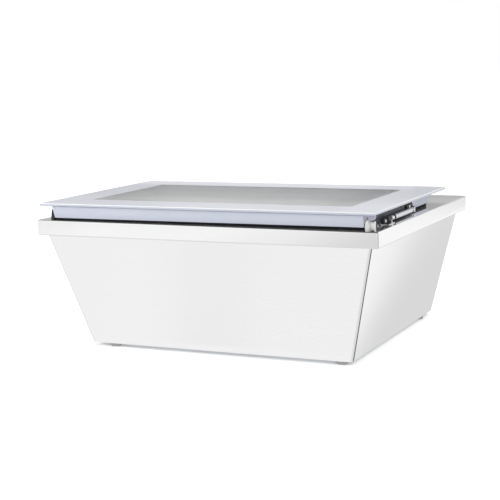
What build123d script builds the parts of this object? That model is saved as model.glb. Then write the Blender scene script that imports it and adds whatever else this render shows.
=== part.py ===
import math
import os

from build123d import *

os.makedirs("parts", exist_ok=True)

# Driving dimensions in millimetres. X runs along the long side, Y points to the operator at the rear,
# Z is up, and the origin lies on the floor under the middle of the rim. Heights are drawn from a level
# BASE_DROP under the floor, and each part is set down by that much when it is saved.
BASE_DROP = 4.0
RIM_WIDTH = 806.5
RIM_DEPTH = 672.0
SKIRT_HEIGHT = 34.5
DECK_Z = 303.0
FOOT_HEIGHT = 12.0
WALL_SLOPE = 0.262
BOTTOM_HALF_WIDTH = 316.2
BOTTOM_FRONT = 255.7
BODY_BACK = 322.0
SHEET = 1.2
DECK_SHEET = 1.5
CORNER_GAP = 6.0
CORNER_BEND = 3.6
INNER_BEND = CORNER_BEND - SHEET
FRONT_RETURN = 4.2
RIM_CORNER = 4.5

GLASS_HALF_WIDTH = 395.3
GLASS_FRONT = -334.0
GLASS_BACK = 181.0
GLASS_TOP = 341.0
GLASS_THICK = 6.0
FRAME_BOTTOM = 307.4
FRAME_RISE = 2.0
GASKET_LIFT = 0.3

# Level rectangles as x0, x1, y0, y1: the deck's opening, the tub's mouth and the flange that both rest on
OPENING = (-346.0, 346.0, -300.0, 97.0)
MOUTH = (-338.0, 338.0, -292.0, 89.0)
FLANGE = (-356.0, 356.0, -310.0, 107.0)
TUB_FLOOR = 114.0
TUB_TOP = 297.0
TUB_WALL = 1.0

HINGE_Y = -316.0
HINGE_Z = 313.0
PIN_RADIUS = 3.0
RUNNING_FIT = 0.05

STRUT_X = 382.0
STRUT_FOOT_Y = -237.0
STRUT_FOOT_Z = 312.5
STUD_Y = -47.0
STUD_Z = 320.5
SLOT_LENGTH = 13.9
SLOT_ANGLE = -36.0

SHEET_ACROSS = SHEET * math.sqrt(1 + WALL_SLOPE ** 2)
GLASS_UNDER = GLASS_TOP - GLASS_THICK


def half_width(z):
    """Half the casing's width at height z."""
    return BOTTOM_HALF_WIDTH + WALL_SLOPE * (z - FOOT_HEIGHT)


def front_at(z):
    """Y of the casing's front face at height z."""
    return -(BOTTOM_FRONT + WALL_SLOPE * (z - FOOT_HEIGHT))


def box(x0, x1, y0, y1, z0, z1):
    return Pos((x0 + x1) / 2, (y0 + y1) / 2, (z0 + z1) / 2) * Box(x1 - x0, y1 - y0, z1 - z0)


def rod_x(x0, x1, y, z, r):
    return Pos((x0 + x1) / 2, y, z) * Rot(0, 90, 0) * Cylinder(r, x1 - x0)


def rod_y(y0, y1, x, z, r):
    return Pos(x, (y0 + y1) / 2, z) * Rot(90, 0, 0) * Cylinder(r, y1 - y0)


def rod_z(z0, z1, x, y, r):
    return Pos(x, y, (z0 + z1) / 2) * Cylinder(r, z1 - z0)


def hexa(lower, upper):
    """Six-sided block between two level rectangles, each given as x0, x1, y0, y1, z."""
    rings = []
    for x0, x1, y0, y1, z in (lower, upper):
        rings.append([(x0, y0, z), (x1, y0, z), (x1, y1, z), (x0, y1, z)])
    low, high = rings
    faces = [Face(Wire.make_polygon(low)), Face(Wire.make_polygon(high))]
    for i in range(4):
        j = (i + 1) % 4
        faces.append(Face(Wire.make_polygon([low[i], low[j], high[j], high[i]])))
    return Solid(Shell(faces))


def soft_front(lower, upper, radius):
    """Block like hexa, with its two front upright edges rounded."""
    block = hexa(lower, upper)
    upright = [e for e in block.edges() if abs(e.center().Z - (lower[4] + upper[4]) / 2) < 0.01]
    upright.sort(key=lambda e: e.center().Y)
    return fillet(upright[:2], radius)


def level(x0, x1, y0, y1, z, r):
    """Level rectangle with rounded corners."""
    return Pos((x0 + x1) / 2, (y0 + y1) / 2, z) * RectangleRounded(x1 - x0, y1 - y0, r)


def prism(x0, x1, y0, y1, z0, z1, r):
    return extrude(level(x0, x1, y0, y1, z0, r), z1 - z0)


def grown(rectangle, by):
    """Level rectangle with every side moved out."""
    x0, x1, y0, y1 = rectangle
    return (x0 - by, x1 + by, y0 - by, y1 + by)


def taper(lower, upper):
    """Ruled solid between two rounded level rectangles."""
    return loft([level(*lower), level(*upper)], ruled=True)


def pipe(points, radius, bend):
    """Round tube along straight runs joined by bends."""
    pts = [Vector(*p) for p in points]
    edges = []
    start = pts[0]
    for a, b, c in zip(pts, pts[1:], pts[2:]):
        u = (a - b).normalized()
        v = (c - b).normalized()
        half = math.radians(u.get_angle(v)) / 2
        p = b + u * (bend / math.tan(half))
        q = b + v * (bend / math.tan(half))
        w = (u + v).normalized()
        mid = b + w * (bend / math.sin(half) - bend)
        edges.append(Edge.make_line(start, p))
        edges.append(Edge.make_three_point_arc(p, mid, q))
        start = q
    edges.append(Edge.make_line(start, pts[-1]))
    profile = Plane(origin=pts[0], z_dir=pts[1] - pts[0]) * Circle(radius)
    return sweep(profile, path=Wire(edges))


def save(name, shape):
    """Write one part, as a single solid or as a group of solids."""
    solids = (Pos(0, 0, -BASE_DROP) * shape).solids()
    out = solids[0] if len(solids) == 1 else Compound(children=list(solids))
    out.label = name
    export_step(out, "parts/" + name + ".step")


# Base pan with an upturned edge, holes for the four feet
PAN_TOP = 34.0
PAN_IN = SHEET_ACROSS + 0.3


def inside(z, gap, back):
    """Rectangle of the casing's inside at height z, held off its faces by gap."""
    return (-half_width(z) + gap, half_width(z) - gap, front_at(z) + gap, back, z)


PAN_BACK = BODY_BACK - 3.0
FEET = [(-265.0, -240.0), (287.5, -240.0), (-302.0, 256.0), (302.0, 256.0)]
pan_filled = soft_front(inside(FOOT_HEIGHT, PAN_IN, PAN_BACK), inside(PAN_TOP, PAN_IN, PAN_BACK), INNER_BEND)
space_low = inside(FOOT_HEIGHT + SHEET, PAN_IN + SHEET, PAN_BACK - SHEET)
space_high = inside(PAN_TOP + 0.5, PAN_IN + SHEET, PAN_BACK - SHEET)
pan = pan_filled - soft_front(space_low, space_high, INNER_BEND - SHEET)
for x, y in FEET:
    pan -= rod_z(10, 16, x, y, 4.2)
save("base_pan", pan)

# Feet: a low disc with a rounded lower edge and a stud up through the pan
FOOT_NAMES = ["front_left_foot", "front_right_foot", "rear_left_foot", "rear_right_foot"]
for foot_name, (x, y) in zip(FOOT_NAMES, FEET):
    disc = fillet(rod_z(BASE_DROP, FOOT_HEIGHT, x, y, 13.5).edges().group_by(Axis.Z)[0], 2.0)
    stud = rod_z(FOOT_HEIGHT, 24, x, y, 4.0)
    nut = Pos(x, y, FOOT_HEIGHT + SHEET) * extrude(RegularPolygon(7.5, 6), 5)
    save(foot_name, disc + stud + nut)

# Casing panels. The front and the two sides lean outward going up, the rear is upright.
PANEL_TOP = 299.5


def front_outside(z):
    return (-half_width(z), half_width(z), front_at(z), front_at(z) + FRONT_RETURN, z)


def front_inside(z):
    x = half_width(z) - SHEET_ACROSS
    return (-x, x, front_at(z) + SHEET_ACROSS, front_at(z) + FRONT_RETURN + 5, z)


def side_slab(z):
    x = half_width(z)
    return (x - SHEET_ACROSS, x, front_at(z) + FRONT_RETURN + CORNER_GAP, BODY_BACK, z)


def side_flange(z):
    x = half_width(z) - SHEET_ACROSS
    return (x - 18.0, x, BODY_BACK - 2.7, BODY_BACK - 1.5, z)


def seal_bar(z):
    x = half_width(z)
    y = front_at(z) + FRONT_RETURN
    return (x - SHEET_ACROSS - 2.4, x - 0.7, y - 2.5, y + CORNER_GAP + 2.5, z)


def rear_slab(z):
    x = half_width(z) - SHEET_ACROSS - 0.4
    return (-x, x, BODY_BACK - SHEET, BODY_BACK, z)


def lean(slab, z0=FOOT_HEIGHT, z1=PANEL_TOP):
    return hexa(slab(z0), slab(z1))


SCREW_Z = (45.0, 150.0, 262.0)
REAR_SCREWS = [(s * (half_width(z) - SHEET_ACROSS - 9.0), z) for z in SCREW_Z for s in (-1, 1)]

front_panel = soft_front(front_outside(FOOT_HEIGHT), front_outside(PANEL_TOP), CORNER_BEND)
front_panel -= soft_front(front_inside(FOOT_HEIGHT), front_inside(PANEL_TOP), INNER_BEND)
right_panel = lean(side_slab) + lean(side_flange)
for x, z in REAR_SCREWS:
    right_panel -= rod_y(BODY_BACK - 4, BODY_BACK - 1, x, z, 2.1)
seal = lean(seal_bar) - front_panel - lean(side_slab) - pan_filled
save("front_panel", front_panel)
save("right_panel", right_panel)
save("left_panel", mirror(right_panel, Plane.YZ))
save("corner_seals", Compound(children=[*seal.solids(), *mirror(seal, Plane.YZ).solids()]))

# Rear panel with two fields of vent slots and openings for knob, switch and inlet
KNOB_X, SWITCH_X, INLET_X, CONTROL_Z = -20.0, 38.0, 92.0, 246.0
CUT_IN, CUT_OUT = BODY_BACK - 4, BODY_BACK + 2
rear_panel = lean(rear_slab, FOOT_HEIGHT + 0.5)
slots = []
for middle in (-168.0, 160.0):
    for column in (-66.0, 0.0, 66.0):
        for row in range(14):
            slot = SlotOverall(56.0, 5.0)
            at = Pos(middle + column, BODY_BACK + 2, 50.0 + 12.0 * row) * Rot(90, 0, 0)
            slots.append(at * extrude(slot, 6.0))
rear_panel -= slots
rear_panel -= rod_y(CUT_IN, CUT_OUT, KNOB_X, CONTROL_Z, 4.0)
rear_panel -= box(SWITCH_X - 11, SWITCH_X + 11, CUT_IN, CUT_OUT, CONTROL_Z - 15, CONTROL_Z + 15)
rear_panel -= box(INLET_X - 14, INLET_X + 14, CUT_IN, CUT_OUT, CONTROL_Z - 10.5, CONTROL_Z + 10.5)
for x, z in REAR_SCREWS:
    rear_panel -= rod_y(CUT_IN, CUT_OUT, x, z, 2.1)
save("rear_panel", rear_panel)
screws = []
for x, z in REAR_SCREWS:
    head = fillet(rod_y(BODY_BACK, BODY_BACK + 2.2, x, z, 4.0).edges().group_by(Axis.Y)[-1], 1.2)
    screws += (head + rod_y(BODY_BACK - 7, BODY_BACK, x, z, 2.0)).solids()
save("rear_panel_screws", Compound(children=screws))

# Top deck: one folded sheet with a skirt, a return under the skirt and the tub opening
HALF_W, HALF_D = RIM_WIDTH / 2, RIM_DEPTH / 2
SKIRT_Z = DECK_Z - SKIRT_HEIGHT
deck = prism(-HALF_W, HALF_W, -HALF_D, HALF_D, SKIRT_Z, DECK_Z, RIM_CORNER)
deck = fillet(deck.edges().group_by(Axis.Z)[-1], 1.8)
deck = fillet(deck.edges().group_by(Axis.Z)[0], 2.0)
hollow = prism(-HALF_W + DECK_SHEET, HALF_W - DECK_SHEET, -HALF_D + DECK_SHEET, HALF_D - DECK_SHEET,
               SKIRT_Z + DECK_SHEET, DECK_Z - DECK_SHEET, RIM_CORNER - DECK_SHEET)
hollow = fillet(hollow.edges().group_by(Axis.Z)[-1], 0.6)
deck -= hollow
deck -= box(-387, 387, -326, BODY_BACK + 4, SKIRT_Z - 1, SKIRT_Z + 3)
deck -= prism(*OPENING, DECK_Z - 4, DECK_Z + 1, 20)
save("top_deck", deck)

# Plastic collar between deck and tub
DECK_UNDER = DECK_Z - DECK_SHEET
collar = prism(*FLANGE, TUB_TOP + 0.1, DECK_UNDER, 26)
collar += prism(*grown(OPENING, -0.3), DECK_UNDER, DECK_Z, 19.7)
collar -= prism(*MOUTH, TUB_TOP - 1, DECK_Z + 1, 14)
save("tub_collar", collar)

# Inner tub, a tapered steel box with a top flange
TUB_BOTTOM = (-303.0, 303.0, -247.0, 82.0)
FLANGE_UNDER = TUB_TOP - 1.1
outer_low, outer_high = grown(TUB_BOTTOM, TUB_WALL), grown(MOUTH, TUB_WALL)
tub_filled = taper((*outer_low, TUB_FLOOR - TUB_WALL, 23), (*outer_high, TUB_TOP, 27))
tub_space = taper((*TUB_BOTTOM, TUB_FLOOR, 22), (*MOUTH, TUB_TOP, 26))
tub = tub_filled + prism(*FLANGE, FLANGE_UNDER, TUB_TOP, 30)
tub -= tub_space
save("inner_tub", tub)

# Evaporator: one tube wound round the tub in four turns, both ends led out at the rear
FOAM_BACK = 140.0
COMP_X, COMP_Y = -170.0, 222.0
STANDOFF = 5.4


def tub_wall(z):
    """Outer half width, front and back of the tub at height z."""
    start = TUB_FLOOR - TUB_WALL
    share = (z - start) / (TUB_TOP - start)
    low_and_high = zip(outer_low[1:], outer_high[1:])
    return [low + (high - low) * share for low, high in low_and_high]


turns = [(COMP_X, FOAM_BACK, 268.0)]
LEVELS = (268.0, 226.0, 184.0, 142.0)
turns.append((COMP_X, tub_wall(268.0)[2] + STANDOFF, 268.0))
for z in LEVELS:
    wide, near, far = tub_wall(z)
    turns.append((-wide - STANDOFF, far + STANDOFF, z))
    turns.append((-wide - STANDOFF, near - STANDOFF, z))
    turns.append((wide + STANDOFF, near - STANDOFF, z))
    turns.append((wide + STANDOFF, far + STANDOFF, z))
turns.append((-84.0, tub_wall(142.0)[2] + STANDOFF, 142.0))
turns.append((-84.0, FOAM_BACK, 142.0))
coil = pipe(turns, 4.0, 20.0)
save("evaporator_coil", coil)

# Foam between casing and tub, cut away round the coil
foam_low = inside(PAN_TOP + 2, SHEET_ACROSS, FOAM_BACK)
foam = soft_front(foam_low, inside(FLANGE_UNDER, SHEET_ACROSS, FOAM_BACK), INNER_BEND)
foam -= lean(seal_bar)
foam -= mirror(lean(seal_bar), Plane.YZ)
foam -= tub_filled
foam -= coil
save("foam_insulation", foam)

# Compressor on rubber mounts, with its relay box
shell = fillet(rod_z(33, 190, COMP_X, COMP_Y, 68).edges().group_by(Axis.Z)[-1], 44)
shell = fillet(shell.edges().group_by(Axis.Z)[0], 30)
compressor = shell + chamfer(rod_z(104, 114, COMP_X, COMP_Y, 71.5).edges().filter_by(GeomType.CIRCLE), 2)
compressor += prism(COMP_X - 96, COMP_X + 96, COMP_Y - 58, COMP_Y + 58, 31.5, 34.5, 12)
MOUNTS = [(COMP_X + sx * 82, COMP_Y + sy * 44) for sx in (-1, 1) for sy in (-1, 1)]
for x, y in MOUNTS:
    compressor -= rod_z(30, 36, x, y, 5.0)
mounts = []
for x, y in MOUNTS:
    mount = rod_z(FOOT_HEIGHT + SHEET, 31.5, x, y, 11.0) + rod_z(31.5, 34.5, x, y, 5.0)
    mount += rod_z(34.5, 38.0, x, y, 7.5)
    mounts += mount.solids()
relay = fillet(box(COMP_X - 98, COMP_X - 50, 197, 247, 84, 140).edges().group_by(Axis.X)[0], 5) - compressor
save("compressor", compressor)
save("compressor_mounts", Compound(children=mounts))
save("relay_box", max(relay.solids(), key=lambda s: s.volume))

# Condenser: one row of tube through flat fins, end plates standing on the pan
COND_X0, COND_X1, COND_Y = 60.0, 260.0, 280.0
run = [(COND_X0 - 20, COND_Y, 203.0)]
for i in range(8):
    z = 203.0 - 21.0 * i
    ends = (COND_X0 - 12, COND_X1 + 14) if i % 2 == 0 else (COND_X1 + 14, COND_X0 - 12)
    if i > 0:
        run.append((ends[0], COND_Y, z))
    run.append((ends[1] if i < 7 else COND_X0 - 20, COND_Y, z))
condenser_tube = pipe(run, 3.5, 10.4)
save("condenser_tube", condenser_tube)
fins = []
for i in range(29):
    x = COND_X0 + 2 + 7.0 * i
    fin = box(x - 0.3, x + 0.3, COND_Y - 18, COND_Y + 18, 45, 214)
    if i in (0, 28):
        fin = box(x - 0.8, x + 0.8, COND_Y - 18, COND_Y + 18, FOOT_HEIGHT + SHEET, 214)
        lip = (x - 0.8, x + 14) if i == 0 else (x - 14, x + 0.8)
        fin += box(*lip, COND_Y - 18, COND_Y + 18, FOOT_HEIGHT + SHEET, FOOT_HEIGHT + SHEET + 1.6)
    for k in range(8):
        fin -= rod_x(x - 2, x + 2, COND_Y, 203.0 - 21.0 * k, 3.5)
    fins += fin.solids()
save("condenser_fins", Compound(children=fins))

# Fan: frame with a ring and motor arms, motor, and the rotor with its shaft
FAN_X, FAN_Z = 160.0, 130.0
FAN_RING, FAN_HUB, MOTOR_R = 75.0, 22.0, 26.0
fan_frame = box(FAN_X - 85, FAN_X + 85, 228, 230, FOOT_HEIGHT + SHEET, 215)
fan_frame += box(FAN_X - 85, FAN_X + 85, 228, 248, FOOT_HEIGHT + SHEET, FOOT_HEIGHT + SHEET + 2)
fan_frame += rod_y(228, 252, FAN_X, FAN_Z, FAN_RING + 3)
fan_frame -= rod_y(227, 253, FAN_X, FAN_Z, FAN_RING)
arms = box(FAN_X - 80, FAN_X + 80, 222, 228, FAN_Z - 5, FAN_Z + 5)
arms += box(FAN_X - 5, FAN_X + 5, 222, 228, FAN_Z - 80, FAN_Z + 80)
arms += rod_y(206, 228, FAN_X, FAN_Z, MOTOR_R + 4)
arms -= rod_y(205, 229, FAN_X, FAN_Z, MOTOR_R)
fan_frame += arms
motor = fillet(rod_y(168, 222, FAN_X, FAN_Z, MOTOR_R).edges().group_by(Axis.Y)[0], 6)
motor -= rod_y(196, 223, FAN_X, FAN_Z, PIN_RADIUS + RUNNING_FIT)
rotor = fillet(rod_y(230.5, 251, FAN_X, FAN_Z, FAN_HUB).edges().group_by(Axis.Y)[-1], 4)
rotor += rod_y(200, 232, FAN_X, FAN_Z, PIN_RADIUS)
for i in range(5):
    blade = Rot(0, 0, 26) * Pos(0, 0, 46) * Box(34, 2.0, 54)
    rotor += Pos(FAN_X, 240.5, FAN_Z) * Rot(0, 72 * i, 0) * blade
save("fan_frame", fan_frame)
save("fan_motor", motor)
save("fan_rotor", rotor)

# Refrigerant lines and the filter drier
save("discharge_pipe", pipe([(COMP_X + 68.3, COMP_Y, 130), (-72, COMP_Y, 130), (-72, COND_Y, 130),
                             (-72, COND_Y, 203), (COND_X0 - 20, COND_Y, 203)], 3.0, 12))
save("suction_pipe", pipe([(COMP_X, FOAM_BACK, 268), (COMP_X, COMP_Y, 268), (COMP_X, COMP_Y, 190)], 4.0, 20))
drier_line = Polyline((0, 0), (3, 0), (3, 12), (9.5, 22), (9.5, 92), (3, 102), (3, 112), (0, 112),
                      close=True)
drier = revolve(Plane.XZ * make_face(drier_line), Axis.Z)
save("filter_drier", Pos(COND_X0 - 20, COND_Y, 56) * Rot(0, -90, 0) * drier)
save("liquid_pipe", pipe([(COND_X0 - 132, COND_Y, 56), (-84, COND_Y, 56), (-84, COND_Y, 142),
                          (-84, FOAM_BACK, 142)], 2.5, 7))

# Controls behind the rear panel: box, thermostat with knob, rocker switch, mains inlet
REAR_IN = BODY_BACK - SHEET
BOX_IN = BODY_BACK - 50
control_box = box(-60, 122, BOX_IN, REAR_IN, 220, 291) - box(-58, 120, BOX_IN + 2, REAR_IN + 1, 222, 289)
save("control_box", control_box)
thermostat = box(KNOB_X - 20, KNOB_X + 20, BOX_IN + 10, BOX_IN + 42, CONTROL_Z - 18, CONTROL_Z + 18)
thermostat += rod_y(BOX_IN + 42, REAR_IN, KNOB_X, CONTROL_Z, 7)
thermostat -= rod_y(BOX_IN + 23, REAR_IN + 1, KNOB_X, CONTROL_Z, PIN_RADIUS + RUNNING_FIT)
save("thermostat", thermostat)
KNOB_END = BODY_BACK + 13.4
knob = rod_y(BODY_BACK + 0.8, KNOB_END, KNOB_X, CONTROL_Z, 17)
knob = fillet(knob.edges().group_by(Axis.Y)[-1], 2)
for i in range(16):
    turn = math.radians(22.5 * i + 11.25)
    flute_x = KNOB_X + 18.0 * math.cos(turn)
    flute_z = CONTROL_Z + 18.0 * math.sin(turn)
    knob -= rod_y(BODY_BACK + 3, KNOB_END + 1, flute_x, flute_z, 2.2)
knob -= box(KNOB_X - 0.8, KNOB_X + 0.8, KNOB_END - 0.8, KNOB_END + 1, CONTROL_Z + 5, CONTROL_Z + 15)
knob += rod_y(BOX_IN + 24, BODY_BACK + 1.5, KNOB_X, CONTROL_Z, PIN_RADIUS)
save("thermostat_knob", knob)
bezel = prism(-13, 13, -17, 17, 0, 2, 2) + prism(-10.8, 10.8, -14.8, 14.8, -22, 0, 1)
bezel -= box(-8.5, 8.5, -12.5, 12.5, -16, 3)
bezel -= rod_x(-10, 10, 0, -2, 1.55)
bezel = Pos(SWITCH_X, BODY_BACK, CONTROL_Z) * Rot(-90, 0, 0) * bezel
save("switch_bezel", bezel)
wedge = Polyline((-11.2, 3.2), (0, 1.4), (11.2, 3.2), (8.5, -6), (-8.5, -6), close=True)
rocker = extrude(Plane.YZ * make_face(wedge), 8.1, both=True)
rocker += rod_x(-9.8, 9.8, 0, -2, 1.5)
rocker = Pos(0, 0, -2) * Rot(10, 0, 0) * Pos(0, 0, 2) * rocker
save("rocker_switch", Pos(SWITCH_X, BODY_BACK, CONTROL_Z) * Rot(-90, 0, 0) * rocker)
inlet = prism(-24, 24, -15, 15, 0, 3, 5) + prism(-13.8, 13.8, -10.3, 10.3, -26, 0, 3)
inlet -= prism(-12, 12, -8.2, 8.2, -16, 4, 2)
for x, y in ((-7, -1.5), (0, 2.5), (7, -1.5)):
    inlet += box(x - 1, x + 1, y - 2, y + 2, -17, -5)
save("power_inlet", Pos(INLET_X, BODY_BACK, CONTROL_Z) * Rot(-90, 0, 0) * inlet)

# Lid: top pane, moulded frame, inner pane and seal
glass = prism(-GLASS_HALF_WIDTH, GLASS_HALF_WIDTH, GLASS_FRONT, GLASS_BACK, GLASS_UNDER, GLASS_TOP, 1.5)
glass = chamfer(glass.edges().group_by(Axis.Z)[-1], 0.8)
save("lid_glass", glass)
FRAME_LOW = (-364.0, 369.3, -321, 118, FRAME_BOTTOM, 1.5)
FRAME_HIGH = (-367.9, 369.7, -326, 152, GLASS_UNDER, 1.5)
FRAME_WIDTH = FRAME_LOW[1] - FRAME_LOW[0]
seal_plane = Plane(
    origin=(FRAME_LOW[0], 0, FRAME_BOTTOM),
    x_dir=(FRAME_WIDTH, 0, FRAME_RISE),
    z_dir=(-FRAME_RISE, 0, FRAME_WIDTH),
)
below_frame = extrude(seal_plane * Rectangle(3 * FRAME_WIDTH, 3 * FRAME_WIDTH), -30)
frame_filled = taper(FRAME_LOW, FRAME_HIGH) - below_frame
frame = frame_filled - prism(-333, 333, -289, 85, FRAME_BOTTOM - 1, GLASS_UNDER + 1, 10)
frame -= prism(-339.5, 339.5, -295.5, 91.5, 312, GLASS_UNDER + 1, 13.5)
for s in (-1, 1):
    frame -= rod_x(min(s * 352, s * 372), max(s * 352, s * 372), HINGE_Y, HINGE_Z, PIN_RADIUS)
save("lid_frame", frame)
save("lid_inner_glass", prism(-339, 339, -295, 91, 312, 316, 13))
gasket = prism(-362.5, 368.2, -317.5, 116.5, DECK_Z + GASKET_LIFT, FRAME_BOTTOM + 2 * FRAME_RISE, 4)
gasket -= prism(-348.5, 352.2, -303.5, 101.5, DECK_Z, FRAME_BOTTOM + 3 * FRAME_RISE, 6)
gasket &= below_frame
gasket = fillet(gasket.edges().group_by(Axis.Z)[0], 1.5)
save("lid_gasket", gasket)

# Front hinge: pivot pins in the frame, a thin wedge at the left, a bracket behind a saddle block at the right
LEFT_PIN_END = -371.8
save("left_hinge_pin", rod_x(LEFT_PIN_END, -352, HINGE_Y, HINGE_Z, PIN_RADIUS))
pin = rod_x(352, 395.1, HINGE_Y, HINGE_Z, PIN_RADIUS)
pin += fillet(rod_x(395.1, 397.2, HINGE_Y, HINGE_Z, 3.4).edges().group_by(Axis.X)[-1], 1.2)
save("right_hinge_pin", pin)
left_block = hexa((-373.8, -365.1, -321, -306, DECK_Z), (-371.0, -368.0, -321, -306, 327))
left_block = fillet(left_block.edges().filter_by(Axis.X).group_by(Axis.Z)[-1], 5)
left_block -= rod_x(-380, -360, HINGE_Y, HINGE_Z, PIN_RADIUS + RUNNING_FIT)
save("left_hinge_block", left_block)

BLOCK_LEFT, BLOCK_RIGHT, BRACKET_LEFT = 372.5, 394.8, 374.8
BLOCK_FRONT, BLOCK_BACK = -328.0, -322.4
LUG_X, LUG_Z, LUG_R = 387.6, 331.8, 7.2
right_block = box(BLOCK_LEFT, BLOCK_RIGHT, BLOCK_FRONT, BLOCK_BACK, DECK_Z, HINGE_Z)
right_block += rod_x(BLOCK_LEFT, LUG_X, HINGE_Y, HINGE_Z, 15.4)
right_block += rod_x(LUG_X, BLOCK_RIGHT, HINGE_Y, HINGE_Z, 12.2)
right_block &= box(BLOCK_LEFT, BLOCK_RIGHT, BLOCK_FRONT, BLOCK_BACK, DECK_Z, 340)
front_plane = Plane(origin=(0, HINGE_Y, 0), x_dir=(1, 0, 0), z_dir=(0, -1, 0))
groove_face = front_plane * Pos(LUG_X, LUG_Z) * Circle(LUG_R + 1.0)
right_block -= revolve(groove_face, Axis((0, HINGE_Y, HINGE_Z), (1, 0, 0)))
side = Line((374.1, DECK_Z), (400, DECK_Z)) + Line((400, DECK_Z), (400, 340)) + Line((400, 340), (381.1, 340))
side += Line((381.1, 340), (379.4, 328)) + ThreePointArc((379.4, 328), (373.1, 311), (374.1, DECK_Z))
right_block &= extrude(front_plane * make_face(side), 30, both=True)
for x in (384.4, 387.8):
    right_block -= box(x - 0.9, x + 0.9, BLOCK_FRONT - 1, BLOCK_FRONT + 3.4, 305.8, 310.8)
right_block -= box(383.6, 387.0, BLOCK_FRONT - 1, BLOCK_FRONT + 2.2, 313.4, 317.8)
save("right_hinge_block", max(right_block.solids(), key=lambda s: s.volume))
hinge_bracket = box(BRACKET_LEFT, BLOCK_RIGHT, BLOCK_BACK, -303, DECK_Z, HINGE_Z)
hinge_bracket += rod_x(BRACKET_LEFT, BLOCK_RIGHT, HINGE_Y, HINGE_Z, 6.4)
hinge_bracket -= rod_x(360, 400, HINGE_Y, HINGE_Z, PIN_RADIUS + RUNNING_FIT)
save("right_hinge_bracket", hinge_bracket)
lug_profile = Pos(LUG_X, LUG_Z) * Circle(LUG_R)
lug_profile += Pos(LUG_X, (LUG_Z + GLASS_UNDER) / 2) * Rectangle(2 * LUG_R, GLASS_UNDER - LUG_Z)
lug_top = Rectangle(BLOCK_RIGHT - BRACKET_LEFT, 4)
lug_profile += Pos((BRACKET_LEFT + BLOCK_RIGHT) / 2, GLASS_UNDER - 2) * lug_top
lug_plane = Plane(origin=(0, -329, 0), x_dir=(1, 0, 0), z_dir=(0, -1, 0))
lug = extrude(lug_plane * lug_profile, -8) & box(370, 396, -335, -280, 310, GLASS_UNDER)
save("lid_rest_lug", lug)

# Lid stay at the right: foot bracket, end fitting, rod, tube, end clip and the slotted plate on the lid
EAR_LEFT, EAR_RIGHT, EAR_R, FOOT_PIN_R = 374.5, 376.7, 6.5, 2.5
bracket = box(EAR_LEFT, 379, -243.5, -190, DECK_Z, DECK_Z + 1.4)
bracket += box(378, 391, -229, -190, DECK_Z, DECK_Z + 1.4)
bracket += box(EAR_LEFT, EAR_RIGHT, STRUT_FOOT_Y - EAR_R, STRUT_FOOT_Y + EAR_R, DECK_Z, STRUT_FOOT_Z)
bracket += rod_x(EAR_LEFT, EAR_RIGHT, STRUT_FOOT_Y, STRUT_FOOT_Z, EAR_R)
bracket += box(389.5, 391, -211, -206.5, DECK_Z, 312)
bracket -= rod_x(370, 380, STRUT_FOOT_Y, STRUT_FOOT_Z, FOOT_PIN_R)
save("stay_foot_bracket", bracket)
foot_pin = rod_x(EAR_LEFT, 385.5, STRUT_FOOT_Y, STRUT_FOOT_Z, FOOT_PIN_R)
foot_pin += fillet(rod_x(385.2, 387.8, STRUT_FOOT_Y, STRUT_FOOT_Z, 3.3).edges().group_by(Axis.X)[-1], 1)
save("stay_foot_pin", foot_pin)
ROD_R, ROD_START = 2.2, -222.0
ROD_END, BORE_R = -64.0, 3.4
rod = rod_y(ROD_START, ROD_END, STRUT_X, STRUT_FOOT_Z, ROD_R)
rod += rod_y(ROD_END - 8, ROD_END, STRUT_X, STRUT_FOOT_Z, BORE_R - 0.1)
save("stay_rod", rod)
boot = fillet(rod_y(-219, -196.3, STRUT_X, STRUT_FOOT_Z, 6.5).edges().group_by(Axis.Y)[0], 3.0)
boot += rod_y(STRUT_FOOT_Y, -215, STRUT_X, STRUT_FOOT_Z, 3.0)
boot += rod_x(377.1, 384.8, STRUT_FOOT_Y, STRUT_FOOT_Z, 6.0)
boot -= rod_x(370, 392, STRUT_FOOT_Y, STRUT_FOOT_Z, FOOT_PIN_R + RUNNING_FIT)
boot -= rod_y(ROD_START, -180, STRUT_X, STRUT_FOOT_Z, ROD_R)
save("stay_boot", boot)
TUBE_FRONT, TUBE_BACK, TUBE_R = -168.5, -48.5, 5.8
CAP_FRONT, CAP_BACK, CAP_R = -195.5, -177.5, 5.2
tube = fillet(rod_y(TUBE_FRONT, TUBE_BACK, STRUT_X, STRUT_FOOT_Z, TUBE_R).edges().group_by(Axis.Y)[-1], 3.0)
tube += fillet(rod_y(CAP_FRONT, CAP_BACK, STRUT_X, STRUT_FOOT_Z, CAP_R).edges().group_by(Axis.Y)[0], 1.0)
tube += rod_y(CAP_BACK - 1, TUBE_FRONT + 1, STRUT_X, STRUT_FOOT_Z, 3.3)
tube -= rod_y(TUBE_FRONT + 2, TUBE_BACK - 5, STRUT_X, STRUT_FOOT_Z, BORE_R)
tube -= rod_y(CAP_FRONT - 3, TUBE_FRONT + 3, STRUT_X, STRUT_FOOT_Z, ROD_R + RUNNING_FIT)
tube += rod_y(TUBE_BACK - 1, -29, STRUT_X, STRUT_FOOT_Z, 1.6)
tube += box(STRUT_X - 0.75, STRUT_X + 0.75, -30, -19.5, 305.9, 316.8)
save("stay_tube", tube)
wiper = rod_y(CAP_BACK + 0.2, TUBE_FRONT - 0.2, STRUT_X, STRUT_FOOT_Z, 4.6)
wiper -= rod_y(CAP_BACK, TUBE_FRONT, STRUT_X, STRUT_FOOT_Z, 3.3)
save("stay_wiper", wiper)
clip = box(375, 377.4, -64, -21, 316.9, 324.5)
clip = fillet(clip.edges().filter_by(Axis.X), 3.5)
clip += box(375, STRUT_X + 0.75, -30, -22, 316.8, 318.3)
clip -= rod_x(372, 380, STUD_Y, STUD_Z, PIN_RADIUS)
save("stay_end_clip", clip)
stud = rod_x(370.8, 377.6, STUD_Y, STUD_Z, PIN_RADIUS)
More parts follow.
